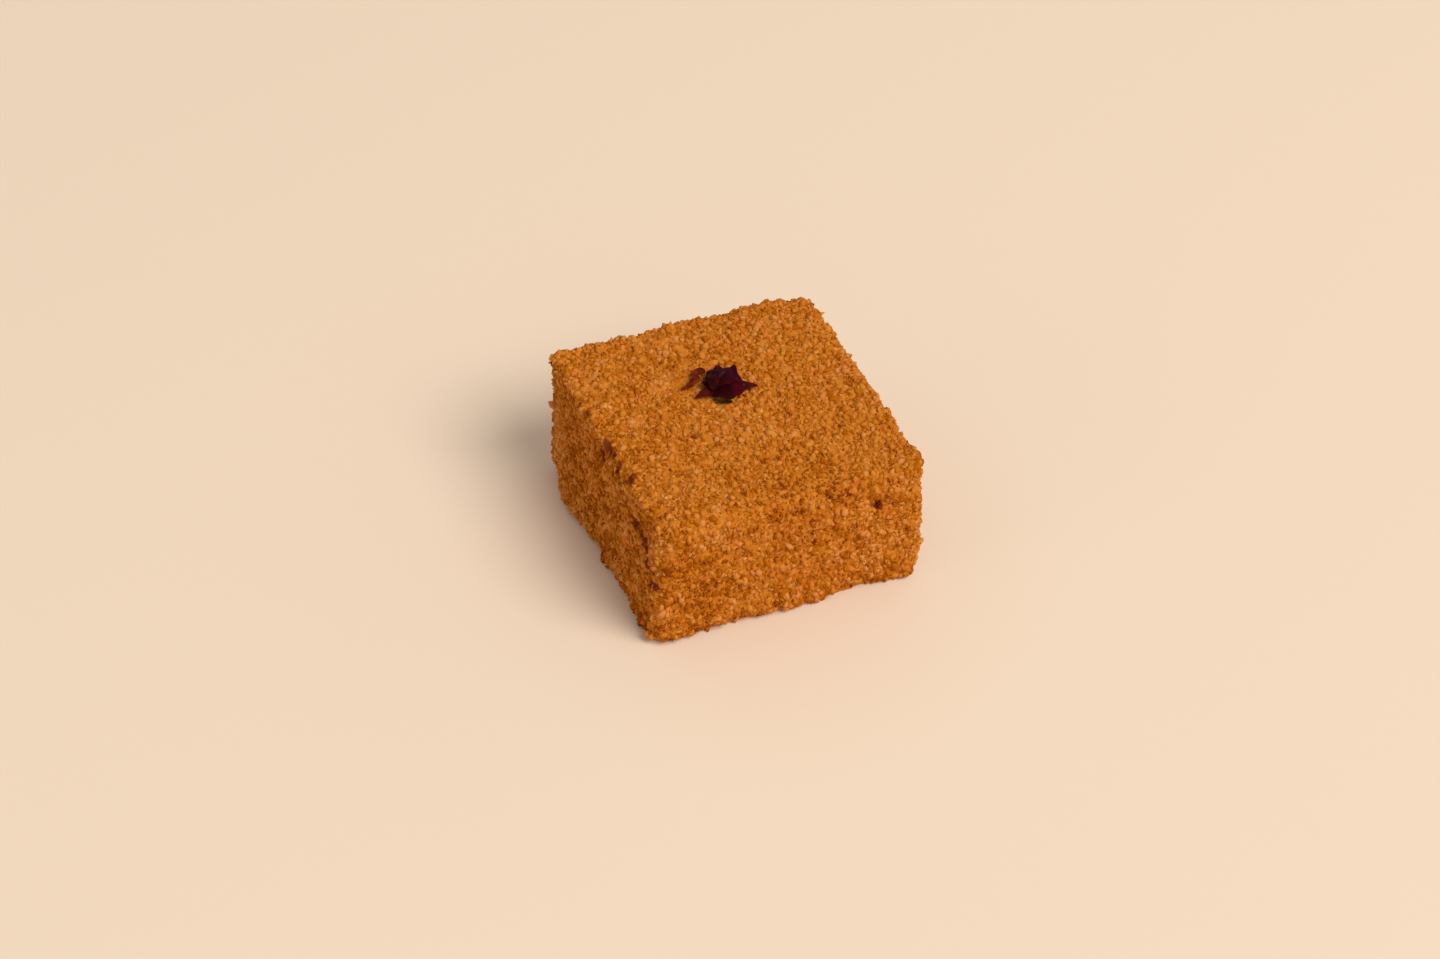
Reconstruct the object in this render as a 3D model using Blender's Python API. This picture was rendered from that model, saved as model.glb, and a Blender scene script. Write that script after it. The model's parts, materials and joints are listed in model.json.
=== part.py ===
# A small square honey cake, whole and uncut, in a coat of cake crumbs, with a dried
# flower petal and shreds of it lying on top. Metres, +Z up. The origin is the middle
# of the flat base, and the sides run along X and Y.
import math
import random

import bmesh
import bpy
from mathutils import Euler, Matrix, Vector, noise

MM = 0.001

# Driving dimensions of the cake, over its crumb coat
LENGTH = 69.8 * MM
WIDTH = 69.2 * MM
HEIGHT = 38.0 * MM
EDGE_DROP = 2.0 * MM  # how far down the round top edge reaches
EDGE_REACH = 2.4 * MM  # how far in it reaches
CORNER_EXTRA = 1.4 * MM  # more of it round the four upright corners
CORNER_SPREAD = 6.0 * MM
WORN_EXTRA = 2.6 * MM  # more of both at the worn front corner
WORN_SPREAD = 14.0 * MM
FOOT_HEIGHT = 2.7 * MM  # the coat turns in below this height
FOOT_INSET = 1.9 * MM
FOOT_LOWEST = 0.4 * MM  # the ragged foot hangs no lower than this
FLAT = 0.01 * MM  # heights under this belong to the base

# Cells of the cake's grid
TOP_CELLS = 29
WALL_ROWS = 14
FOOT_ROWS = 3
TOP_CROWDING = 0.3  # share by which cells shrink towards the edges
WALL_CROWDING = 1.25  # above 1, rows are closer near the top

# Unevenness of the coat: size of the lumps, and how far they stand out
LUMPS = ((21.0 * MM, 0.45 * MM), (7.5 * MM, 0.40 * MM), (3.6 * MM, 0.70 * MM), (1.7 * MM, 0.55 * MM))
LUMP_SHIFT = Vector((3.7, 1.9, 8.3))
RAGGED_SIZE = 5.5 * MM
RAGGED_DEPTH = 1.3 * MM

# Places where the coat has fallen away or heaped up, in millimetres:
# middle, size along X, Y and Z, and depth, below zero where it is heaped
HOLLOWS = {
    "front_foot": ((18.5, -35.0, 0.8), (6.0, 5.0, 2.8), 2.2),
    "front_foot_left": ((-18.0, -35.0, 0.4), (9.0, 5.0, 2.0), 1.2),
    "left_foot_corner": ((-35.0, 31.0, 1.8), (4.0, 3.5, 2.8), 1.4),
    "left_foot_heap": ((-35.3, 18.0, 1.2), (4.5, 8.5, 4.5), -1.9),
    "left_top_edge": ((-35.2, -5.0, 36.8), (3.2, 6.0, 2.8), 1.4),
    "front_corner": ((-35.0, -26.0, 31.5), (2.6, 2.8, 5.0), 1.0),
    "front_pit": ((21.8, -35.0, 28.8), (2.4, 3.0, 2.0), 0.9),
    "front_edge_pit": ((25.8, -35.0, 36.6), (2.6, 2.6, 2.2), 0.8),
    "back_edge_middle": ((-6.0, 34.0, 37.5), (4.0, 4.0, 3.5), -1.1),
    "back_edge_left": ((-18.0, 34.0, 38.0), (9.0, 4.0, 3.0), -0.5),
    "back_left_peak": ((-34.0, 34.0, 38.0), (3.5, 4.0, 3.5), -1.6),
    "back_corner": ((34.0, 34.0, 38.0), (5.0, 5.0, 4.0), 0.5),
    "right_front_bulge": ((35.0, -30.0, 8.0), (4.0, 9.0, 13.0), -1.3),
}

# Large crumbs that stand out of the coat
CRUMB_COUNT = 150
CRUMB_SPACING = 4.2 * MM
CRUMB_TRIES = 9000
CRUMB_RADIUS = (0.7 * MM, 1.35 * MM)
CRUMB_SMALLER = 1.8  # above 1, small crumbs are more frequent than large ones
CRUMB_STRETCH = ((0.85, 1.25), (0.85, 1.1))  # least and most, along two of its axes
CRUMB_SINK = 0.4  # share of its radius that a crumb's middle lies under the surface
CRUMB_UNEVEN = 0.2
CRUMB_LOWEST = 2.0 * MM

# The petal lies on a smooth bed, clear of crumbs
GAP = 0.3 * MM
BED_CENTRE = Vector((-0.5 * MM, 9.2 * MM))
BED_RADIUS = 11.0 * MM
BED_BLEND = 3.0 * MM

LEAF_THICK = 0.32 * MM
PETAL_CENTRE = Vector((0.7 * MM, 8.1 * MM))
PETAL_RADIUS = 4.4 * MM
PETAL_RINGS = 5
PETAL_SPOKES = 48
PETAL_DOME = 1.1 * MM
PETAL_FOLDS = 0.55 * MM  # height of the creases
PETAL_CREASES = (2.5, 0.4)  # creases in a half turn, and where they start, in radians
PETAL_CRUMPLE = 1.0 * MM  # depth and size of the crumpling between them
PETAL_CRUMPLE_SIZE = 2.6 * MM
PETAL_RIM_CALM = 0.7  # share by which the crumpling fades towards the rim
# Pointed tips: direction in degrees, reach past the radius, spread in degrees, lift
PETAL_TIPS = (
    (45, 2.1 * MM, 12, 0.9 * MM),
    (86, 1.9 * MM, 14, 0.2 * MM),
    (134, 0.8 * MM, 16, 0.2 * MM),
    (165, 1.3 * MM, 15, 0.2 * MM),
    (195, 5.5 * MM, 8, 0.0 * MM),
    (220, 1.5 * MM, 15, 0.0 * MM),
    (256, 1.6 * MM, 20, 0.0 * MM),
    (298, 1.1 * MM, 18, 0.0 * MM),
    (329, 3.9 * MM, 12, 0.2 * MM),
)
FOLD_CENTRE = Vector((-0.4 * MM, 8.7 * MM))
FOLD_RADIUS = 3.2 * MM
FOLD_RINGS = 4
FOLD_SPOKES = 36
FOLD_DOME = 0.6 * MM
FOLD_FOLDS = 0.35 * MM
FOLD_CREASES = (2.0, 1.1)
FOLD_CLEARANCE = 0.5 * MM  # straight up, so the gap stays open on slopes
FOLD_TIPS = (
    (40, 1.2 * MM, 18, 0.5 * MM),
    (118, 0.9 * MM, 20, 0.2 * MM),
    (215, 1.5 * MM, 22, 0.3 * MM),
    (320, 0.8 * MM, 18, 0.4 * MM),
)

# Shreds: points along the middle in millimetres, half width at each, and wave height
SHREDS = {
    "petal_shred_upper": (
        ((-2.3, 13.5), (-3.5, 14.3), (-5.0, 13.7), (-5.4, 11.8), (-7.2, 10.5), (-10.2, 9.3)),
        (0.50, 1.05, 0.85, 1.10, 0.80, 0.20), 0.5 * MM),
    "petal_shred_front": (
        ((-4.3, 3.7), (-3.2, 2.8), (-1.8, 1.9), (-0.2, 1.4)),
        (0.25, 0.50, 0.50, 0.20), 0.3 * MM),
}
SHRED_STEPS = 5
SHRED_WAVE_TURN = 0.9  # radians of the wave in one step
SHRED_CUP = 0.15 * MM  # how far the middle stands above the sides

SEED = 41


def clamp(value, limit):
    return max(-limit, min(limit, value))


def smooth(edge0, edge1, value):
    t = max(0.0, min(1.0, (value - edge0) / (edge1 - edge0)))
    return t * t * (3 - 2 * t)


def remove_everything():
    for obj in list(bpy.data.objects):
        bpy.data.objects.remove(obj, do_unlink=True)


def make_material(name, colour, roughness):
    material = bpy.data.materials.new(name)
    material.use_nodes = True
    shader = material.node_tree.nodes["Principled BSDF"]
    shader.inputs["Base Color"].default_value = (*colour, 1.0)
    shader.inputs["Roughness"].default_value = roughness
    shader.inputs["Metallic"].default_value = 0.0
    return material


def make_object(name, bm, material):
    mesh = bpy.data.meshes.new(name)
    bm.to_mesh(mesh)
    bm.free()
    obj = bpy.data.objects.new(name, mesh)
    obj.data.materials.append(material)
    bpy.context.scene.collection.objects.link(obj)
    return obj


# The cake

def crowded(place):
    # Moves a place between -0.5 and 0.5 towards the nearer end
    return place + TOP_CROWDING * math.sin(math.tau * place) / math.tau


def plain_block():
    # A grid for the top, drawn down row by row, and one flat face for the base
    bm = bmesh.new()
    bmesh.ops.create_grid(bm, x_segments=TOP_CELLS, y_segments=TOP_CELLS, size=0.5)
    for vert in bm.verts:
        vert.co = Vector((crowded(vert.co.x) * LENGTH, crowded(vert.co.y) * WIDTH, HEIGHT))
    heights = [HEIGHT + (FOOT_HEIGHT - HEIGHT) * (row / WALL_ROWS) ** WALL_CROWDING
               for row in range(1, WALL_ROWS + 1)]
    heights += [FOOT_HEIGHT * (1 - row / FOOT_ROWS) for row in range(1, FOOT_ROWS + 1)]
    for height in heights:
        rim = [edge for edge in bm.edges if edge.is_boundary]
        grown = bmesh.ops.extrude_edge_only(bm, edges=rim)["geom"]
        for part in grown:
            if isinstance(part, bmesh.types.BMVert):
                part.co.z = height
    rim = [edge for edge in bm.edges if edge.is_boundary]
    bmesh.ops.contextual_create(bm, geom=rim)
    return bm


def rounded(point):
    # Where a point of the plain block lies once edges and corners are round
    corner = Vector((-LENGTH / 2, -WIDTH / 2, HEIGHT))
    worn = WORN_EXTRA * math.exp(-((point - corner).length / WORN_SPREAD) ** 2)
    away = math.hypot(LENGTH / 2 - abs(point.x), WIDTH / 2 - abs(point.y))
    across = EDGE_REACH + CORNER_EXTRA * math.exp(-(away / CORNER_SPREAD) ** 2) + worn
    reach = Vector((across, across, EDGE_DROP + worn))
    inner = Vector((
        clamp(point.x, LENGTH / 2 - reach.x),
        clamp(point.y, WIDTH / 2 - reach.y),
        min(point.z, HEIGHT - reach.z)))
    offset = Vector([(point[i] - inner[i]) / reach[i] for i in range(3)])
    offset /= max(1.0, offset.length)
    return inner + Vector([offset[i] * reach[i] for i in range(3)])


def foot_inset(point):
    # The coat curls in towards the base, further at some places than at others
    rise = min(1.0, point.z / FOOT_HEIGHT)
    curl = 1 - math.sqrt(1 - (1 - rise) ** 2)
    ragged = noise.noise(Vector((point.x, point.y, 0)) / RAGGED_SIZE)
    return curl * (FOOT_INSET + RAGGED_DEPTH * ragged)


def bed_mask(point):
    # 0 on the bed under the petal, 1 away from it
    away = (Vector((point.x, point.y)) - BED_CENTRE).length
    on_top = smooth(HEIGHT - 2 * EDGE_DROP, HEIGHT - EDGE_DROP, point.z)
    return 1 - on_top * (1 - smooth(BED_RADIUS, BED_RADIUS + BED_BLEND, away))


def relief(point):
    height = 0.0
    for size, depth in LUMPS:
        height += depth * noise.noise(point / size + LUMP_SHIFT)
    for place, sizes, depth in HOLLOWS.values():
        away = math.sqrt(sum(((point[i] / MM - place[i]) / sizes[i]) ** 2 for i in range(3)))
        height -= depth * MM * math.exp(-away ** 2)
    return height * bed_mask(point)


def shape_cake():
    bm = plain_block()
    base = [vert for vert in bm.verts if vert.co.z < FLAT]
    for vert in bm.verts:
        vert.co = rounded(vert.co)
        inset = foot_inset(vert.co)
        vert.co.x *= 1 - 2 * inset / LENGTH
        vert.co.y *= 1 - 2 * inset / WIDTH
    bmesh.ops.recalc_face_normals(bm, faces=bm.faces)
    bm.normal_update()
    moves = {vert: vert.normal * relief(vert.co) for vert in bm.verts}
    for vert, move in moves.items():
        vert.co += move
        vert.co.z = max(vert.co.z, FOOT_LOWEST)
    for vert in base:
        vert.co.z = 0.0
    bmesh.ops.triangulate(bm, faces=[face for face in bm.faces if len(face.verts) < 5])
    return bm


def crumb_places(bm, draw):
    # Spots on the coat, no two closer than the spacing
    faces = [face for face in bm.faces if len(face.verts) < 5]
    total = [0.0]
    for face in faces:
        total.append(total[-1] + face.calc_area())
    places = []
    for _ in range(CRUMB_TRIES):
        pick = draw.random() * total[-1]
        low, high = 0, len(faces)
        while high - low > 1:
            middle = (low + high) // 2
            low, high = (middle, high) if total[middle] <= pick else (low, middle)
        spot = faces[low].calc_center_median()
        if spot.z < CRUMB_LOWEST or bed_mask(spot) < 1.0:
            continue
        if any((spot - other).length < CRUMB_SPACING for other, _ in places):
            continue
        places.append((spot, faces[low].normal.copy()))
        if len(places) == CRUMB_COUNT:
            break
    return places


def make_crumb(index, spot, normal, draw, collection):
    small, large = CRUMB_RADIUS
    radius = small + (large - small) * draw.random() ** CRUMB_SMALLER
    bm = bmesh.new()
    bmesh.ops.create_icosphere(bm, subdivisions=1, radius=radius)
    for vert in bm.verts:
        vert.co *= 1 + draw.uniform(-CRUMB_UNEVEN, CRUMB_UNEVEN)
    turn = Euler([draw.uniform(0, math.tau) for _ in range(3)]).to_matrix().to_4x4()
    stretch = Matrix.Diagonal((*[draw.uniform(*limits) for limits in CRUMB_STRETCH], 1.0, 1.0))
    place = Matrix.Translation(spot - normal * radius * CRUMB_SINK)
    bmesh.ops.transform(bm, matrix=place @ turn @ stretch, verts=bm.verts)
    mesh = bpy.data.meshes.new(f"crumb_{index}")
    bm.to_mesh(mesh)
    bm.free()
    collection.objects.link(bpy.data.objects.new(f"crumb_{index}", mesh))


def fuse_crumbs(cake, places, draw):
    collection = bpy.data.collections.new("crumbs")
    bpy.context.scene.collection.children.link(collection)
    for index, (spot, normal) in enumerate(places):
        make_crumb(index, spot, normal, draw, collection)
    union = cake.modifiers.new("crumbs", "BOOLEAN")
    union.operation = "UNION"
    union.operand_type = "COLLECTION"
    union.collection = collection
    union.solver = "EXACT"
    depsgraph = bpy.context.evaluated_depsgraph_get()
    fused = bpy.data.meshes.new_from_object(cake.evaluated_get(depsgraph))
    cake.modifiers.remove(union)
    cake.data = fused
    for crumb in list(collection.objects):
        bpy.data.objects.remove(crumb, do_unlink=True)
    bpy.data.collections.remove(collection)


def centre_on_origin(obj):
    # Brings the middle of the outline in plan to the origin
    for axis in range(2):
        values = [vert.co[axis] for vert in obj.data.vertices]
        middle = (min(values) + max(values)) / 2
        for vert in obj.data.vertices:
            vert.co[axis] -= middle


def make_cake():
    draw = random.Random(SEED)
    bm = shape_cake()
    places = crumb_places(bm, draw)
    cake = make_object("cake", bm, make_material("crumb_coat", (0.46, 0.15, 0.022), 0.85))
    fuse_crumbs(cake, places, draw)
    centre_on_origin(cake)


# The petal and its shreds

def turn_between(angle, direction):
    return math.degrees(math.remainder(angle - math.radians(direction), math.tau))


def tip_sum(tips, angle, column):
    return sum(tip[column] * math.exp(-(turn_between(angle, tip[0]) / tip[2]) ** 2) for tip in tips)


def petal_height(x, y):
    # Underside of the large petal above the cake's top
    away = Vector((x, y)) - PETAL_CENTRE
    angle = math.atan2(away.y, away.x)
    ring = min(1.0, away.length / (PETAL_RADIUS + tip_sum(PETAL_TIPS, angle, 1)))
    dome = PETAL_DOME * (1 - ring ** 2)
    folds = PETAL_FOLDS * ring * (2 * abs(math.sin(PETAL_CREASES[0] * angle + PETAL_CREASES[1])) - 1)
    crumple = PETAL_CRUMPLE * (1 - PETAL_RIM_CALM * ring ** 2)
    crumple *= noise.noise(Vector((x, y, 0)) / PETAL_CRUMPLE_SIZE)
    lift = ring ** 4 * tip_sum(PETAL_TIPS, angle, 3)
    return max(0.0, dome + folds + crumple + lift)


def fold_height(x, y):
    # Underside of the small petal, which lies on the large one
    away = Vector((x, y)) - FOLD_CENTRE
    angle = math.atan2(away.y, away.x)
    ring = min(1.0, away.length / (FOLD_RADIUS + tip_sum(FOLD_TIPS, angle, 1)))
    dome = FOLD_DOME * (1 - ring ** 2)
    folds = FOLD_FOLDS * ring * (2 * abs(math.sin(FOLD_CREASES[0] * angle + FOLD_CREASES[1])) - 1)
    lift = ring ** 3 * tip_sum(FOLD_TIPS, angle, 3)
    return petal_height(x, y) + LEAF_THICK + FOLD_CLEARANCE + max(0.0, dome + folds + lift)


def leaf_sheet(centre, radius, tips, rings, spokes, height):
    # One thin sheet of triangles, in rings round the centre
    bm = bmesh.new()

    def place(ring, spoke):
        angle = math.tau * spoke / spokes
        reach = (radius + tip_sum(tips, angle, 1)) * ring / rings
        x = centre.x + reach * math.cos(angle)
        y = centre.y + reach * math.sin(angle)
        return bm.verts.new((x, y, HEIGHT + GAP + height(x, y)))

    middle = place(0, 0)
    rows = [[place(ring, spoke) for spoke in range(spokes)] for ring in range(1, rings + 1)]
    for spoke in range(spokes):
        after = (spoke + 1) % spokes
        bm.faces.new((middle, rows[0][spoke], rows[0][after]))
        for inner, outer in zip(rows, rows[1:]):
            bm.faces.new((inner[spoke], outer[spoke], outer[after]))
            bm.faces.new((inner[spoke], outer[after], inner[after]))
    return bm


def path_point(points, position):
    # Smooth curve through the points, position counted in spans
    span = min(int(position), len(points) - 2)
    t = position - span
    before = points[max(span - 1, 0)]
    start, end = points[span], points[span + 1]
    after = points[min(span + 2, len(points) - 1)]
    return 0.5 * (2 * start + (end - before) * t + (2 * before - 5 * start + 4 * end - after) * t ** 2
                  + (3 * start - before - 3 * end + after) * t ** 3)


def strip_sheet(points, widths, wave):
    # A narrow wavy strip of triangles, three points across
    bm = bmesh.new()
    spine = [Vector((x * MM, y * MM, width * MM)) for (x, y), width in zip(points, widths)]
    steps = SHRED_STEPS * (len(spine) - 1)
    rows = []
    for step in range(steps + 1):
        here = path_point(spine, step / SHRED_STEPS)
        ahead = path_point(spine, min(step + 1, steps) / SHRED_STEPS)
        behind = path_point(spine, max(step - 1, 0) / SHRED_STEPS)
        along = (ahead - behind).to_2d().normalized()
        across = Vector((-along.y, along.x))
        rise = wave * (1 - math.cos(step * SHRED_WAVE_TURN)) / 2
        row = []
        for side in (-1, 0, 1):
            spot = here.to_2d() + across * here.z * side
            cup = rise + SHRED_CUP * (1 - abs(side))
            row.append(bm.verts.new((spot.x, spot.y, HEIGHT + GAP + cup)))
        rows.append(row)
    for row, after in zip(rows, rows[1:]):
        for i in range(2):
            bm.faces.new((row[i], row[i + 1], after[i + 1]))
            bm.faces.new((row[i], after[i + 1], after[i]))
    return bm


def make_leaf(name, bm, material):
    bmesh.ops.recalc_face_normals(bm, faces=bm.faces)
    if sum(face.normal.z for face in bm.faces) < 0:
        bmesh.ops.reverse_faces(bm, faces=bm.faces)
    leaf = make_object(name, bm, material)
    thick = leaf.modifiers.new("thickness", "SOLIDIFY")
    thick.thickness = LEAF_THICK
    thick.offset = 1.0


def make_petals():
    dark = make_material("petal", (0.030, 0.002, 0.004), 0.55)
    shred = make_material("petal_shred", (0.075, 0.006, 0.006), 0.6)
    large = leaf_sheet(PETAL_CENTRE, PETAL_RADIUS, PETAL_TIPS, PETAL_RINGS, PETAL_SPOKES, petal_height)
    make_leaf("petal", large, dark)
    small = leaf_sheet(FOLD_CENTRE, FOLD_RADIUS, FOLD_TIPS, FOLD_RINGS, FOLD_SPOKES, fold_height)
    make_leaf("petal_fold", small, dark)
    for name, (points, widths, wave) in SHREDS.items():
        make_leaf(name, strip_sheet(points, widths, wave), shred)


remove_everything()
make_cake()
make_petals()
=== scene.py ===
# Looks of a small square honey cake in a coat of crumbs, with a dried petal on its top
import json
import math
import bmesh
import bpy
from mathutils import Matrix, Vector

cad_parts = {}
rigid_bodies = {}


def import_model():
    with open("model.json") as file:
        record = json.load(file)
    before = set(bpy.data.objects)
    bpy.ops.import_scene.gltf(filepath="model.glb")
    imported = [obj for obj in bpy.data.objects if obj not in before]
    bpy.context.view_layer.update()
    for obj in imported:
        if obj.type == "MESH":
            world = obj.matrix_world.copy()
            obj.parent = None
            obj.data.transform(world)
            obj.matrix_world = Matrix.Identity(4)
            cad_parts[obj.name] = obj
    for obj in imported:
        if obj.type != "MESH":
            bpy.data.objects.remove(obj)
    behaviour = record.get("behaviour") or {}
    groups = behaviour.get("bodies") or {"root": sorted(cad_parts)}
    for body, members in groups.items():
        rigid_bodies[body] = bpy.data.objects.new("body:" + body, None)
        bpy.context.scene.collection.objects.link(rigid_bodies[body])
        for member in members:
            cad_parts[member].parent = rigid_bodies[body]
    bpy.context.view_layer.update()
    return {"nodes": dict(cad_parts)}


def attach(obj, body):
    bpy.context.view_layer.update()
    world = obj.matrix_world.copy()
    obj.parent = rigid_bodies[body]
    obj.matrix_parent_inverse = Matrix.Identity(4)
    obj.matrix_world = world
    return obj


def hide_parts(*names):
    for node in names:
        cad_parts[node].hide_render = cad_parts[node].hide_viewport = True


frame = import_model()
mm = 0.001
sceneObjects = bpy.context.scene.collection.objects


# Small helpers for node trees

def plug(tree, socket, value):
    # a socket is linked, anything else becomes the input's own value
    if isinstance(value, bpy.types.NodeSocket):
        tree.links.new(value, socket)
    elif value is not None:
        socket.default_value = value


def node(tree, kind, values=None, **settings):
    made = tree.nodes.new(kind)
    for key, value in settings.items():
        setattr(made, key, value)
    for key, value in (values or {}).items():
        plug(tree, made.inputs[key], value)
    return made


def calc(tree, operation, *values):
    made = node(tree, "ShaderNodeMath", operation=operation)
    for socket, value in zip(made.inputs, values):
        plug(tree, socket, value)
    return made.outputs[0]


def vector(tree, operation, first, second=None, scale=None):
    made = node(tree, "ShaderNodeVectorMath", {0: first, 1: second, 3: scale}, operation=operation)
    return made.outputs[1 if operation == "DISTANCE" else 0]


def mapped(tree, value, low, high, start=0.0, end=1.0):
    return node(tree, "ShaderNodeMapRange", {0: value, 1: low, 2: high, 3: start, 4: end},
                interpolation_type="SMOOTHSTEP").outputs[0]


def noise(tree, place, scale, detail, output=0):
    made = node(tree, "ShaderNodeTexNoise", {"Vector": place, "Scale": scale, "Detail": detail})
    return made.outputs[output]


def patchy(tree, place, scale, detail, reach, depth):
    # from -depth to depth, where the noise is as far as reach from its middle
    return mapped(tree, noise(tree, place, scale, detail), 0.5 - reach, 0.5 + reach, -depth, depth)


def stray(tree, place, scale, detail):
    # a push to any side, half a unit at most
    return vector(tree, "SUBTRACT", noise(tree, place, scale, detail, 1), (0.5, 0.5, 0.5))


def spots(tree, place, marks, wider=0.0):
    # 1 in the middle of each mark, falling to 0 at its edge; a mark is x, y, z and radius in mm
    total = 0.0
    for x, y, z, radius in marks:
        away = vector(tree, "DISTANCE", place, (x * mm, y * mm, z * mm))
        reach = (radius + wider) * mm
        total = calc(tree, "MAXIMUM", mapped(tree, away, reach, reach * 0.5), total)
    return total


def randomNumber(tree, low, high, seed):
    return node(tree, "FunctionNodeRandomValue", {2: low, 3: high, 8: seed}, data_type="FLOAT").outputs[1]


def randomVector(tree, low, high, seed):
    return node(tree, "FunctionNodeRandomValue", {0: low, 1: high, 8: seed},
                data_type="FLOAT_VECTOR").outputs[0]


def newTree(name, inputs):
    tree = bpy.data.node_groups.new(name, "GeometryNodeTree")
    tree.interface.new_socket("Geometry", in_out="INPUT", socket_type="NodeSocketGeometry")
    for label, value in inputs.items():
        kind = "NodeSocketInt" if isinstance(value, int) else "NodeSocketFloat"
        tree.interface.new_socket(label, in_out="INPUT", socket_type=kind).default_value = value
    tree.interface.new_socket("Geometry", in_out="OUTPUT", socket_type="NodeSocketGeometry")
    return tree, tree.nodes.new("NodeGroupInput"), tree.nodes.new("NodeGroupOutput")


def addTree(obj, tree, values):
    modifier = obj.modifiers.new(tree.name, "NODES")
    modifier.node_group = tree
    for item in tree.interface.items_tree:
        if item.in_out == "INPUT" and item.name in values:
            modifier[item.identifier] = values[item.name]


def settle(obj):
    # the evaluated shape becomes the plain mesh
    evaluated = obj.evaluated_get(bpy.context.evaluated_depsgraph_get())
    mesh = bpy.data.meshes.new_from_object(evaluated)
    obj.modifiers.clear()
    obj.data = mesh


def copyOf(nodeName, name, material):
    # the CAD node's mesh with its loose triangles joined
    weld = 0.002 * mm
    bm = bmesh.new()
    bm.from_mesh(frame["nodes"][nodeName].data)
    bmesh.ops.remove_doubles(bm, verts=bm.verts, dist=weld)
    mesh = bpy.data.meshes.new(name)
    bm.to_mesh(mesh)
    bm.free()
    mesh.materials.clear()
    mesh.materials.append(material)
    obj = bpy.data.objects.new(name, mesh)
    sceneObjects.link(obj)
    return obj


def keep(obj, nodeName):
    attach(obj, "root")
    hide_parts(nodeName)
    print(f"{obj.name}: {sum(len(face.vertices) - 2 for face in obj.data.polygons)} triangles")


def newMaterial(name, settings):
    material = bpy.data.materials.new(name)
    material.use_nodes = True
    shader = material.node_tree.nodes["Principled BSDF"]
    for key, value in settings.items():
        shader.inputs[key].default_value = value
    return material, material.node_tree, shader


def blendColours(tree, factor, first, second, kind="MIX"):
    ends = {6: first, 7: second}
    for index, colour in ends.items():
        if isinstance(colour, tuple):
            ends[index] = (*colour, 1.0)
    return node(tree, "ShaderNodeMix", {0: factor, **ends}, data_type="RGBA", blend_type=kind).outputs[2]


def bump(tree, shader, height, distance, strength):
    made = node(tree, "ShaderNodeBump", {"Height": height, "Distance": distance, "Strength": strength})
    plug(tree, shader.inputs["Normal"], made.outputs[0])


# Places on the coat, in mm: x, y, z and radius
coatMarks = {
    "pits": ((-33.8, -0.4, 36.6, 1.5), (-34.2, 1.0, 32.7, 1.3), (-33.7, -3.7, 36.1, 1.4),
             (-33.9, -0.9, 35.7, 1.6), (-34.2, -7.3, 34.6, 1.6), (-33.6, -7.2, 36.3, 1.0),
             (-33.6, -13.9, 37.4, 1.3), (-34.5, -22.6, 29.0, 1.7), (-34.7, -20.8, 30.1, 1.4),
             (-34.2, -24.9, 27.8, 1.5), (-34.6, -27.6, 25.2, 1.5), (22.1, -33.7, 28.1, 1.3)),
    "pitPaintedShade": 0.8,  # painted shade: how much darker than their own tone the crumbs in a pit are
    "pitShare": 0.4,  # of the crumbs that stay in a pit
    "pitRim": 0.75,  # how much wider than the mark the crumbs are darkened with painted shade, as they lie deeper
    "pitDampAndShade": 0.9,  # how much the core in a pit takes the darkest colour: the bare cake under the fallen coat, with painted shade
    "faint": ((-29.9, -15.4, 37.9, 0.9), (-34.8, -29.8, 22.5, 1.6), (-34.6, -31.5, 19.5, 1.4),
              (25.7, -34.1, 35.0, 1.1), (26.4, -32.1, 37.7, 0.9), (-4.7, 30.9, 38.3, 1.0),
              (10.9, -34.6, 35.5, 0.7), (8.6, -34.5, 36.0, 0.7), (13.5, -34.8, 34.9, 0.7),
              (10.2, -34.2, 20.6, 0.7), (14.2, -34.4, 19.7, 0.7), (18.4, -34.1, 18.3, 0.7),
              (6.1, -34.4, 21.9, 0.7)),
    "faintDepth": 0.34,
    # painted shade: broad darker patches low on the front left, on the left side and along the top front edge
    "brown": ((-34.0, -35.0, 8.0, 34.0), (4.0, -32.0, 38.0, 19.0), (-37.0, 2.0, 18.0, 26.0)),
    "brownDepth": 0.12,
    "pale": ((-28.4, 11.0, 38.3, 1.8), (-26.0, -24.3, 38.0, 1.5), (3.1, -5.3, 37.9, 1.3)),
    "bed": ((-7.2, 6.4, 38.0, 3.0), (-8.0, 11.5, 38.0, 4.0), (-2.2, 2.3, 38.0, 3.2)),
    "bedShare": 0.3,  # of the crumbs that stay beside the thin shreds
}

# Colours of the crumbs, and at which tone from 0 to 1 each is reached
crumbColours = {
    "dark": (0.28, 0.056, 0.001),
    "brown": (0.48, 0.132, 0.004),
    "golden": (0.63, 0.218, 0.031),
    "light": (0.665, 0.270, 0.080),
    "rosy": (1.0, 0.95, 0.95),  # the coat is tinted from one of these to the other
    "yellow": (0.97, 1.0, 0.7),
    "toasted": (0.24, 0.048, 0.004),
    "pale": (0.80, 0.44, 0.16),
    "dampAndShade": (0.18, 0.026, 0.009),  # under the coat, where it has fallen away; also the painted shade of the crumbs and the core in the pits
}
# at their lowest stop the crumbs take the darkest colour, which in the pits is painted shade
crumbStops = {
    "mixed": ((0.0, "dampAndShade"), (0.1, "dark"), (0.4, "brown"), (0.65, "golden"), (1.0, "light")),
    "toasted": ((0.0, "dampAndShade"), (0.5, "toasted"), (1.0, "brown")),
    "pale": ((0.0, "light"), (0.6, "pale"), (1.0, "pale")),
    "tint": ((0.38, "rosy"), (0.62, "yellow")),
    "core": ((0.0, "brown"), (1.0, "golden")),
}
crumbFinish = {
    "Roughness": 0.85,
    "Specular IOR Level": 0.04,
}

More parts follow.
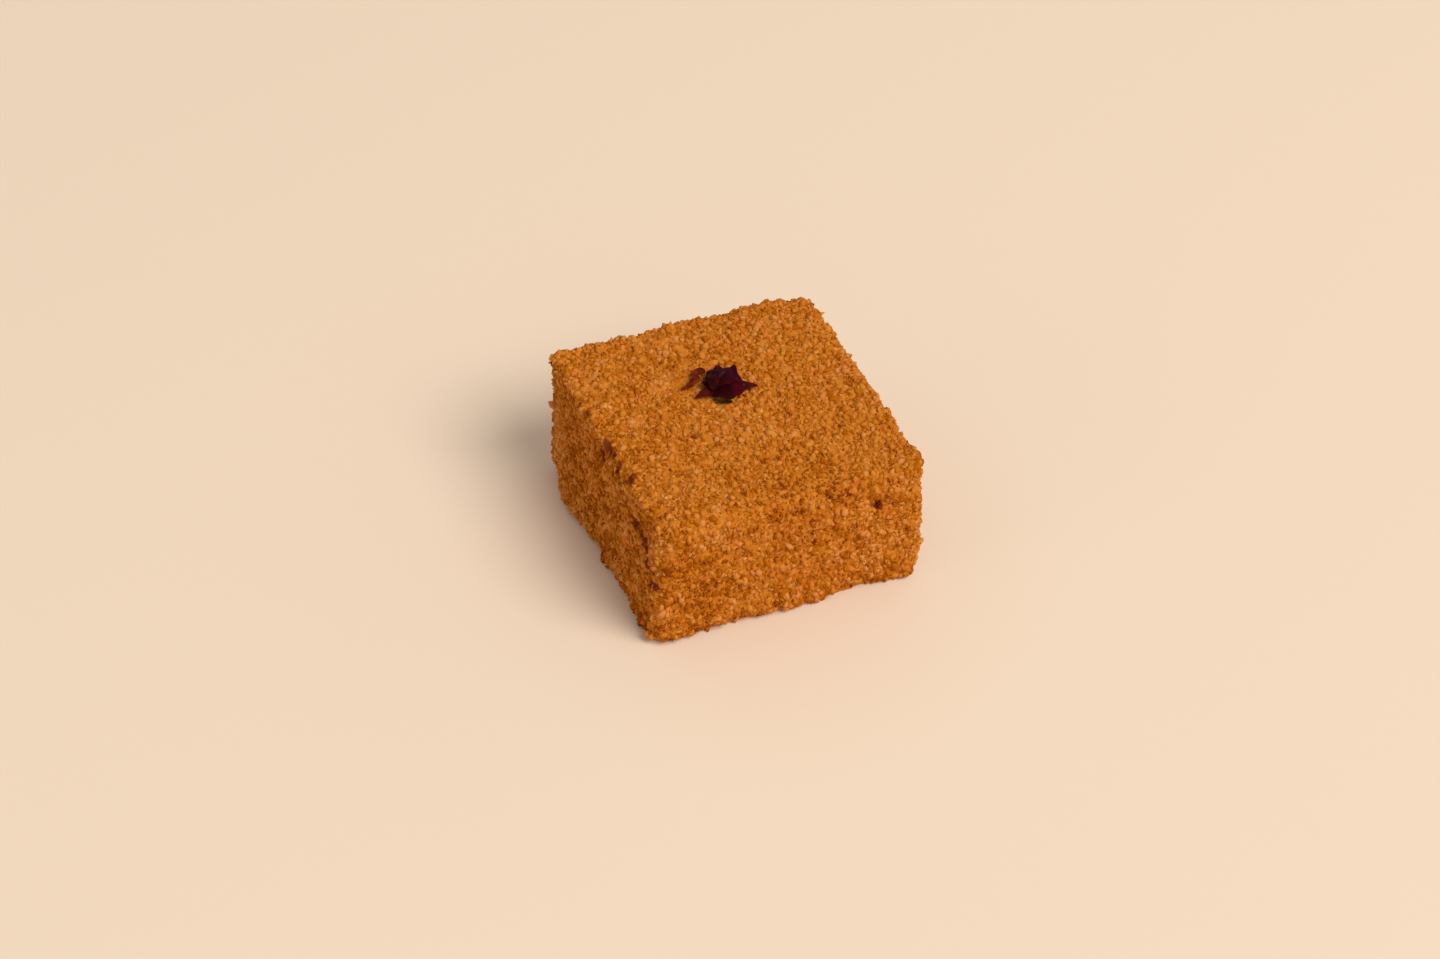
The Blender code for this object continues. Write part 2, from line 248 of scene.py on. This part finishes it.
# Grain; a noise is waves to a metre and detail, and a patchy one has a reach and a depth too
crumbGrain = {
    "tone": (2600.0, 3.0, 0.2, 0.06),
    "tintSize": 3.2 * mm,
    "relief": (5200.0, 3.0),
    "reliefHeight": 0.12 * mm,
    "reliefStrength": 0.5,
}
coreGrain = {
    "cellScale": 1500.0,
    "patches": (150.0, 3.0, 0.15, 0.15),
    "relief": (3000.0, 4.0),
    "reliefHeight": 0.2 * mm,
    "reliefStrength": 0.9,
}


def ramp(tree, factor, stops):
    made = node(tree, "ShaderNodeValToRGB", {0: factor})
    points = made.color_ramp.elements
    while len(points) < len(stops):
        points.new(0.5)
    for point, (place, colour) in zip(points, stops):
        point.position = place
        point.color = (*crumbColours[colour], 1.0)
    return made.outputs[0]


def crumbMaterial(name, colours):
    grain = crumbGrain
    material, tree, shader = newMaterial(name, crumbFinish)
    place = node(tree, "ShaderNodeTexCoord").outputs["Object"]
    tone = node(tree, "ShaderNodeAttribute", attribute_name="tone").outputs["Fac"]
    shade = calc(tree, "ADD", tone, patchy(tree, place, *grain["tone"]))
    tint = ramp(tree, noise(tree, place, 1.0 / grain["tintSize"], 2.0), crumbStops["tint"])
    colour = blendColours(tree, 1.0, ramp(tree, shade, crumbStops[colours]), tint, "MULTIPLY")
    plug(tree, shader.inputs["Base Color"], colour)
    bump(tree, shader, noise(tree, place, *grain["relief"]), grain["reliefHeight"], grain["reliefStrength"])
    return material


def coreMaterial():
    grain = coreGrain
    material, tree, shader = newMaterial("crumbCoat", crumbFinish)
    place = node(tree, "ShaderNodeTexCoord").outputs["Object"]
    cells = node(tree, "ShaderNodeTexVoronoi", {"Vector": place, "Scale": grain["cellScale"]})
    shade = node(tree, "ShaderNodeSeparateXYZ", {0: cells.outputs["Color"]}).outputs[0]
    shade = calc(tree, "ADD", shade, patchy(tree, place, *grain["patches"]))
    # painted shade in the pits: the core turns to the darkest colour, which is also the bare cake under the
    # fallen coat
    pits = spots(tree, place, coatMarks["pits"], coatMarks["pitRim"])
    dampAndShade = calc(tree, "MULTIPLY", pits, coatMarks["pitDampAndShade"])
    colour = blendColours(tree, dampAndShade, ramp(tree, shade, crumbStops["core"]), crumbColours["dampAndShade"])
    plug(tree, shader.inputs["Base Color"], colour)
    bump(tree, shader, noise(tree, place, *grain["relief"]), grain["reliefHeight"], grain["reliefStrength"])
    return material


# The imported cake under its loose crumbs

coreVoxel = 0.5 * mm
coreSizes = {
    "Sink": 0.52 * mm,  # room for the crumbs that lie on it
    "Grain Size": 1.8 * mm,
    "Grain Height": 0.5 * mm,
    "Grain Middle": 0.45,  # the place in a grain that neither rises nor sinks
    "Clump Size": 3.4 * mm,
    "Clump Height": 0.9 * mm,
    "Pit Depth": 0.6 * mm,
    "Base": 0.1 * mm,  # nothing moves below this height, and all of it moves above the foot
    "Foot": 0.9 * mm,
}


def coreTree():
    tree, start, end = newTree("packedCrumbs", coreSizes)
    size = start.outputs
    place = node(tree, "GeometryNodeInputPosition").outputs[0]
    normal = node(tree, "GeometryNodeInputNormal").outputs[0]
    scale = calc(tree, "DIVIDE", 1.0, size["Grain Size"])
    cells = node(tree, "ShaderNodeTexVoronoi", {"Vector": place, "Scale": scale}).outputs["Distance"]
    rise = calc(tree, "MULTIPLY", calc(tree, "SUBTRACT", size["Grain Middle"], cells), size["Grain Height"])
    clumps = noise(tree, place, calc(tree, "DIVIDE", 1.0, size["Clump Size"]), 1.0)
    clumps = calc(tree, "MULTIPLY", calc(tree, "SUBTRACT", clumps, 0.5), size["Clump Height"])
    rise = calc(tree, "ADD", rise, clumps)
    pits = calc(tree, "MULTIPLY", spots(tree, place, coatMarks["pits"]), size["Pit Depth"])
    rise = calc(tree, "SUBTRACT", calc(tree, "SUBTRACT", rise, size["Sink"]), pits)
    height = node(tree, "ShaderNodeSeparateXYZ", {0: place}).outputs["Z"]
    rise = calc(tree, "MULTIPLY", rise, mapped(tree, height, size["Base"], size["Foot"]))
    moved = node(tree, "GeometryNodeSetPosition", {
        "Geometry": size[0], "Offset": vector(tree, "SCALE", normal, scale=rise)})
    tree.links.new(moved.outputs[0], end.inputs[0])
    return tree


core = copyOf("cake", "cakeCore", coreMaterial())
remesh = core.modifiers.new("remesh", "REMESH")
remesh.mode = "VOXEL"
remesh.voxel_size = coreVoxel
remesh.use_smooth_shade = True
addTree(core, coreTree(), coreSizes)
settle(core)
keep(core, "cake")


# The loose crumbs, one piece for each kind

crumbKinds = {
    # density in crumbs on a square millimetre, spacing in mm, sink as part of the radius
    "goldenCrumbs": {
        "sizes": {"Least Size": 1.2 * mm, "Most Size": 2.3 * mm, "Density": 0.95, "Spacing": 1.3,
                  "Sink": 0.35, "Crumple": 0.65, "Tone Middle": 0.70, "Tone Spread": 0.16, "Seed": 23},
        "detail": 1, "colours": "mixed", "on": "cakeCore"},
    "brownCrumbs": {
        "sizes": {"Least Size": 0.8 * mm, "Most Size": 1.4 * mm, "Density": 0.62, "Spacing": 0.0,
                  "Sink": 0.25, "Crumple": 0.7, "Tone Middle": 0.40, "Tone Spread": 0.12, "Seed": 37},
        "detail": 1, "colours": "mixed", "on": "cakeCore"},
    "toastedCrumbs": {
        "sizes": {"Least Size": 0.5 * mm, "Most Size": 1.0 * mm, "Density": 0.12, "Spacing": 0.0,
                  "Sink": 0.1, "Crumple": 0.55, "Tone Middle": 0.6, "Tone Spread": 0.3, "Seed": 43},
        "detail": 1, "colours": "toasted", "on": "cakeCore"},
    "coarseCrumbs": {
        "sizes": {"Least Size": 1.3 * mm, "Most Size": 2.3 * mm, "Density": 0.12, "Spacing": 1.9,
                  "Sink": 0.35, "Crumple": 0.75, "Tone Middle": 0.54, "Tone Spread": 0.2, "Seed": 59},
        "detail": 2, "colours": "mixed", "on": "cakeCore"},
    "paleCrumbs": {
        "sizes": {"Least Size": 0.6 * mm, "Most Size": 1.15 * mm, "Density": 2.4, "Spacing": 0.5,
                  "Sink": 0.1, "Crumple": 0.5, "Tone Middle": 0.5, "Tone Spread": 0.4, "Seed": 71},
        "detail": 1, "colours": "pale", "on": "cakeCore"},
    "fineCrumbs": {
        "sizes": {"Least Size": 0.35 * mm, "Most Size": 0.70 * mm, "Density": 0.22, "Spacing": 0.0,
                  "Sink": 0.0, "Crumple": 0.4, "Tone Middle": 0.60, "Tone Spread": 0.24, "Seed": 11},
        "detail": 0, "colours": "mixed", "on": "goldenCrumbs"},
    "dustCrumbs": {
        "sizes": {"Least Size": 0.45 * mm, "Most Size": 0.9 * mm, "Density": 0.35, "Spacing": 0.0,
                  "Sink": 0.0, "Crumple": 0.4, "Tone Middle": 0.45, "Tone Spread": 0.15, "Seed": 83},
        "detail": 0, "colours": "mixed", "on": "cakeCore"},
}

# Where crumbs lie
crumbCover = {
    "bareFoot": 0.25 * mm,  # none below this height
    "fullFoot": 0.8 * mm,
    "bareFacing": -0.75,  # none where the coat faces down more than this
    "fullFacing": -0.45,
    "sprinkle": (420.0, 0.0),  # noise of the pale crumbs outside their marks
    "sprinkleFrom": 0.72,
    "sprinkleFull": 0.76,
    "sprinkleShare": 0.04,
}

# How the tones of the crumbs vary
crumbTones = {
    "patches": (130.0, 3.0, 0.2, 0.12),
    "specks": (430.0, 1.0, 0.15, 0.16),
    "sideFacing": 0.3,  # how far up a side faces, and the top
    "topFacing": 0.8,
    "sideMix": 1.25,  # how much the tones vary
    "topMix": 0.75,
    "least": 0.28,  # outside the marks
}

# The shape of a crumb
crumbForm = {
    "sizePower": 1.9,  # above 1 there are more small crumbs than large ones
    "least": (0.9, 0.7, 0.6),  # length, width and height of a crumb against its radius
    "most": (1.8, 1.15, 0.95),
    "lumps": 2.0,  # across the largest crumb
    "plainRadius": 1.15,  # of the smallest crumbs, which have few faces
    "lowest": 0.02 * mm,
}


def coverAt(tree, place, pits, name):
    # how much of the full density lies at a place
    cover, marks = crumbCover, coatMarks
    height = node(tree, "ShaderNodeSeparateXYZ", {0: place}).outputs["Z"]
    normal = node(tree, "GeometryNodeInputNormal").outputs[0]
    facing = node(tree, "ShaderNodeSeparateXYZ", {0: normal}).outputs["Z"]
    thick = calc(tree, "MULTIPLY", mapped(tree, height, cover["bareFoot"], cover["fullFoot"]),
                 mapped(tree, facing, cover["bareFacing"], cover["fullFacing"]))
    if name == "paleCrumbs":
        sprinkle = mapped(tree, noise(tree, place, *cover["sprinkle"]),
                          cover["sprinkleFrom"], cover["sprinkleFull"], 0.0, cover["sprinkleShare"])
        pale = calc(tree, "MAXIMUM", spots(tree, place, marks["pale"]), sprinkle)
        return calc(tree, "MULTIPLY", thick, pale)
    bed = spots(tree, place, marks["bed"])
    for spot, share in ((pits, marks["pitShare"]), (bed, marks["bedShare"])):
        thick = calc(tree, "MULTIPLY", thick, mapped(tree, spot, 0.0, 1.0, 1.0, share))
    return thick


def pointsOn(tree, size, even, thick):
    # points on the coat, evenly spaced or fully at random
    perSquareMm = 1.0e6
    density = calc(tree, "MULTIPLY", size["Density"], perSquareMm)
    spread = node(tree, "GeometryNodeDistributePointsOnFaces", {"Mesh": size[0], "Seed": size["Seed"]},
                  distribute_method="POISSON" if even else "RANDOM")
    if even:
        plug(tree, spread.inputs["Distance Min"], calc(tree, "MULTIPLY", size["Spacing"], mm))
        plug(tree, spread.inputs["Density Max"], density)
        plug(tree, spread.inputs["Density Factor"], thick)
    else:
        plug(tree, spread.inputs["Density"], calc(tree, "MULTIPLY", density, thick))
    return spread.outputs["Points"], spread.outputs["Normal"]


def toneOf(tree, size, place, normal, pits):
    # a crumb's own draw, patches across the coat, dark marks, and painted shade in the pits and in broad
    # patches; the sides are more mixed
    tones, marks = crumbTones, coatMarks
    patches = calc(tree, "ADD", patchy(tree, place, *tones["patches"]), patchy(tree, place, *tones["specks"]))
    draw = calc(tree, "MULTIPLY", randomNumber(tree, -1.0, 1.0, 1), size["Tone Spread"])
    facing = node(tree, "ShaderNodeSeparateXYZ", {0: normal}).outputs["Z"]
    mixing = mapped(tree, facing, tones["sideFacing"], tones["topFacing"], tones["sideMix"], tones["topMix"])
    varied = calc(tree, "MULTIPLY", calc(tree, "ADD", draw, patches), mixing)
    tone = calc(tree, "MAXIMUM", calc(tree, "ADD", size["Tone Middle"], varied), tones["least"])
    # painted shade: the crumbs in and around the pits are darkened
    tone = calc(tree, "SUBTRACT", tone, calc(tree, "MULTIPLY", pits, marks["pitPaintedShade"]))
    # the faint marks darken the crumbs; the brown marks darken them with painted shade
    for kind, wider in (("faint", marks["pitRim"]), ("brown", 0.0)):
        darker = calc(tree, "MULTIPLY", spots(tree, place, marks[kind], wider), marks[kind + "Depth"])
        tone = calc(tree, "SUBTRACT", tone, darker)
    return tone


def crumbTree(name, sizes, detail, material):
    tree, start, end = newTree(name, sizes)
    size, form = start.outputs, crumbForm
    place = node(tree, "GeometryNodeInputPosition").outputs[0]
    pits = spots(tree, place, coatMarks["pits"], coatMarks["pitRim"])
    thick = coverAt(tree, place, pits, name)
    points, normal = pointsOn(tree, size, bool(sizes["Spacing"]), thick)
    toned = node(tree, "GeometryNodeStoreNamedAttribute", {
        "Geometry": points, "Name": "tone", "Value": toneOf(tree, size, place, normal, pits)},
        data_type="FLOAT", domain="POINT")
    # size, shape and turn; the middle of a crumb lies above the surface or in it
    pick = calc(tree, "POWER", randomNumber(tree, 0.0, 1.0, 2), form["sizePower"])
    extra = calc(tree, "MULTIPLY", pick, calc(tree, "SUBTRACT", size["Most Size"], size["Least Size"]))
    radius = calc(tree, "MULTIPLY", 0.5, calc(tree, "ADD", size["Least Size"], extra))
    depth = calc(tree, "MULTIPLY", radius, calc(tree, "MULTIPLY", size["Sink"], -1.0))
    sunk = node(tree, "GeometryNodeSetPosition", {
        "Geometry": toned.outputs[0], "Offset": vector(tree, "SCALE", normal, scale=depth)})
    stretch = randomVector(tree, form["least"], form["most"], 3)
    turn = randomVector(tree, (0.0, 0.0, 0.0), (math.tau, math.tau, math.tau), 4)
    if detail:
        shape = node(tree, "GeometryNodeMeshIcoSphere", {"Radius": 1.0, "Subdivisions": detail})
    else:
        shape = node(tree, "GeometryNodeMeshUVSphere", {
            "Segments": 4, "Rings": 2, "Radius": form["plainRadius"]})
    crumbs = node(tree, "GeometryNodeInstanceOnPoints", {
        "Points": sunk.outputs[0], "Instance": shape.outputs[0], "Rotation": turn,
        "Scale": vector(tree, "SCALE", stretch, scale=radius)})
    solid = node(tree, "GeometryNodeRealizeInstances", {"Geometry": crumbs.outputs[0]})
    # crumple each crumb and keep it above the base
    here = node(tree, "GeometryNodeInputPosition").outputs[0]
    lumps = stray(tree, here, calc(tree, "DIVIDE", form["lumps"], size["Most Size"]), 1.0)
    crumple = calc(tree, "MULTIPLY", size["Crumple"], size["Most Size"])
    bent = node(tree, "GeometryNodeSetPosition", {
        "Geometry": solid.outputs[0], "Offset": vector(tree, "SCALE", lumps, scale=crumple)})
    after = node(tree, "ShaderNodeSeparateXYZ", {0: node(tree, "GeometryNodeInputPosition").outputs[0]})
    level = node(tree, "ShaderNodeCombineXYZ", {
        "X": after.outputs["X"], "Y": after.outputs["Y"],
        "Z": calc(tree, "MAXIMUM", after.outputs["Z"], form["lowest"])})
    lifted = node(tree, "GeometryNodeSetPosition", {
        "Geometry": bent.outputs[0], "Position": level.outputs[0]})
    smoothed = node(tree, "GeometryNodeSetShadeSmooth", {
        "Geometry": lifted.outputs[0], "Shade Smooth": True})
    finished = node(tree, "GeometryNodeSetMaterial", {
        "Geometry": smoothed.outputs[0], "Material": material})
    tree.links.new(finished.outputs[0], end.inputs[0])
    return tree


crumbMaterials = {
    "mixed": crumbMaterial("looseCrumbs", "mixed"),
    "toasted": crumbMaterial("toastedCrumbs", "toasted"),
    "pale": crumbMaterial("paleCrumbs", "pale"),
}
for name, kind in crumbKinds.items():
    piece = bpy.data.objects.new(name, bpy.data.objects[kind["on"]].data)
    sceneObjects.link(piece)
    material = crumbMaterials[kind["colours"]]
    addTree(piece, crumbTree(name, kind["sizes"], kind["detail"], material), kind["sizes"])
    settle(piece)
    keep(piece, "cake")


# The dried petal and its shreds; places are x, y, z and radius in mm

petalLooks = {
    "deep": (0.022, 0.0010, 0.0012),
    "maroon": (0.042, 0.0010, 0.0022),
    "purple": (0.034, 0.0008, 0.0110),
    "purplePlaces": ((0.5, 11.5, 39.5, 4.0), (3.0, 9.5, 39.8, 3.0)),
    "magenta": (0.064, 0.0006, 0.0050),
    "magentaPlaces": ((5.2, 8.6, 39.0, 4.6), (2.6, 4.0, 38.8, 3.0)),
    "reddish": (0.080, 0.0060, 0.0025),
    "reddishPlaces": ((-7.4, 6.0, 38.0, 4.2), (8.2, 3.6, 38.6, 4.0), (0.9, 14.6, 38.8, 2.8)),
    "shred": (0.19, 0.024, 0.004),
    "shredDark": (0.085, 0.007, 0.003),
    "olive": (0.050, 0.028, 0.008),
    "oliveDark": (0.018, 0.005, 0.002),
    "mottle": (420.0, 2.0),  # noise that mixes the dark colour and the lighter one
    "mottleFrom": 0.42,
    "mottleFull": 0.62,
    "tintStray": 5.0 * mm,  # how far the edge of a tint wanders
    "roughness": 0.5,
    "gloss": 0.03,
    "glossSpots": 0.25,  # gloss of the few smooth facets
    "facets": (520.0, 1.0),
    "facetShift": (0.1, 0.2, 0.3),
    "facetFrom": 0.64,
    "facetFull": 0.70,
    "veins": {"Scale": 1300.0, "Distortion": 3.0, "Detail": 2.0, "Detail Scale": 1.0},
    "veinShare": 0.35,
    "creases": (1700.0, 3.0),
    "reliefHeight": 0.14 * mm,
    "reliefStrength": 0.8,
}
petalShape = {
    "Wrinkle Size": 1.5 * mm,
    "Wrinkle Height": 0.30 * mm,
    "Vein Height": 0.06 * mm,
    "Vein Scale": 1.6,  # veins across one wrinkle
}
petalRounding = 2
wrinkleFlatness = (1.0, 1.0, 0.25)  # the push is nearly the same on both faces of the leaf


def petalTree():
    tree, start, end = newTree("wrinkles", petalShape)
    size = start.outputs
    place = node(tree, "GeometryNodeInputPosition").outputs[0]
    flat = vector(tree, "MULTIPLY", place, wrinkleFlatness)
    scale = calc(tree, "DIVIDE", 1.0, size["Wrinkle Size"])
    wrinkles = calc(tree, "SUBTRACT", noise(tree, flat, scale, 2.0), 0.5)
    cells = node(tree, "ShaderNodeTexVoronoi", {
        "Vector": flat, "Scale": calc(tree, "MULTIPLY", scale, size["Vein Scale"])}, feature="SMOOTH_F1")
    ridges = calc(tree, "SUBTRACT", 0.5, cells.outputs["Distance"])
    push = calc(tree, "ADD", calc(tree, "MULTIPLY", wrinkles, size["Wrinkle Height"]),
                calc(tree, "MULTIPLY", ridges, size["Vein Height"]))
    offset = node(tree, "ShaderNodeCombineXYZ", {"Z": push})
    moved = node(tree, "GeometryNodeSetPosition", {"Geometry": size[0], "Offset": offset.outputs[0]})
    tree.links.new(moved.outputs[0], end.inputs[0])
    return tree


def petalMaterial(name, dark, middle, tints=()):
    # each tint names its colour, and its places by the same name
    looks = petalLooks
    material, tree, shader = newMaterial(name, {"Roughness": looks["roughness"]})
    place = node(tree, "ShaderNodeTexCoord").outputs["Object"]
    patch = mapped(tree, noise(tree, place, *looks["mottle"]), looks["mottleFrom"], looks["mottleFull"])
    colour = blendColours(tree, patch, looks[dark], looks[middle])
    wander = vector(tree, "SCALE", stray(tree, place, *looks["mottle"]), scale=looks["tintStray"])
    wandered = vector(tree, "ADD", place, wander)
    for tint in tints:
        colour = blendColours(tree, spots(tree, wandered, looks[tint + "Places"]), colour, looks[tint])
    plug(tree, shader.inputs["Base Color"], colour)
    facets = noise(tree, vector(tree, "ADD", place, looks["facetShift"]), *looks["facets"])
    gloss = mapped(tree, facets, looks["facetFrom"], looks["facetFull"], looks["gloss"], looks["glossSpots"])
    plug(tree, shader.inputs["Specular IOR Level"], gloss)
    veins = node(tree, "ShaderNodeTexWave", {"Vector": place, **looks["veins"]}).outputs["Fac"]
    relief = calc(tree, "ADD", calc(tree, "MULTIPLY", veins, looks["veinShare"]),
                  noise(tree, place, *looks["creases"]))
    bump(tree, shader, relief, looks["reliefHeight"], looks["reliefStrength"])
    return material


petalMade = petalMaterial("petal", "deep", "maroon", ("magenta", "purple", "reddish"))
shredMade = petalMaterial("petalShred", "shredDark", "shred")
oliveMade = petalMaterial("petalShredOlive", "oliveDark", "olive")
petalPieces = {
    "petal": ("largePetal", petalMade, "petal"),
    "petal_fold": ("smallPetal", petalMade, "petal"),
    "petal_shred_upper": ("shredUpper", shredMade, "petal_shred"),
    "petal_shred_front": ("shredFront", oliveMade, "petal_shred"),
}
wrinkles = petalTree()
for nodeName, (name, material, slot) in petalPieces.items():
    leaf = copyOf(nodeName, name, material)
    for face in leaf.data.polygons:
        face.use_smooth = True
    rounded = leaf.modifiers.new("rounded", "SUBSURF")
    rounded.levels = rounded.render_levels = petalRounding
    addTree(leaf, wrinkles, petalShape)
    settle(leaf)
    keep(leaf, nodeName)


# Floor, light and camera

studio = {
    "floor": {"Base Color": (0.85, 0.68, 0.52, 1.0), "Roughness": 0.9, "Specular IOR Level": 0.1},
    "floorHalf": 4.0,
    "sky": (1.0, 0.985, 0.96, 1.0),
    "skyStrength": 0.47,
    "lampColour": (1.0, 0.975, 0.94),
    "keyPower": 126.0,
    "keySize": 2.6,
    "keyDistance": 4.0,
    "keyDirection": (0.30, -0.55, 0.78),
    "fillPower": 1.05,
    "fillSize": 0.7,
    "fillDistance": 1.5,
    "fillDirection": (-0.95, -0.08, 0.30),
}

floorMesh = bpy.data.meshes.new("floor")
half = studio["floorHalf"]
corners = [(-half, -half, 0), (half, -half, 0), (half, half, 0), (-half, half, 0)]
floorMesh.from_pydata(corners, [], [(0, 1, 2, 3)])
floor = bpy.data.objects.new("floor", floorMesh)
sceneObjects.link(floor)
floorMesh.materials.append(newMaterial("floor", studio["floor"])[0])

world = bpy.data.worlds.new("studio")
world.use_nodes = True
sky = world.node_tree.nodes["Background"]
sky.inputs["Color"].default_value = studio["sky"]
sky.inputs["Strength"].default_value = studio["skyStrength"]
bpy.context.scene.world = world

for name in ("key", "fill"):
    lightData = bpy.data.lights.new(name, "AREA")
    lightData.shape = "DISK"
    lightData.size = studio[name + "Size"]
    lightData.energy = studio[name + "Power"]
    lightData.color = studio["lampColour"]
    light = bpy.data.objects.new(name, lightData)
    sceneObjects.link(light)
    towards = Vector(studio[name + "Direction"]).normalized()
    light.location = towards * studio[name + "Distance"]
    light.rotation_euler = towards.to_track_quat("Z", "Y").to_euler()

# The camera looks down on the front left corner
cameraView = {
    "place": (-245.127 * mm, -490.912 * mm, 528.999 * mm),
    "right": (0.914417, -0.402066, 0.046740),
    "up": (0.244687, 0.641056, 0.727444),
    "back": (-0.322444, -0.653751, 0.684573),
    "sensor": 36.0,
    "lens": 76.778,
    "nearest": 0.01,
    "farthest": 20.0,
}
cameraData = bpy.data.cameras.new("camera")
cameraData.sensor_width = cameraView["sensor"]
cameraData.lens = cameraView["lens"]
cameraData.clip_start = cameraView["nearest"]
cameraData.clip_end = cameraView["farthest"]
camera = bpy.data.objects.new("camera", cameraData)
sceneObjects.link(camera)
turned = Matrix([cameraView["right"], cameraView["up"], cameraView["back"]]).transposed().to_4x4()
camera.matrix_world = Matrix.Translation(cameraView["place"]) @ turned
bpy.context.scene.camera = camera
bpy.context.scene.view_settings.view_transform = "Standard"

print("all pieces are in place")
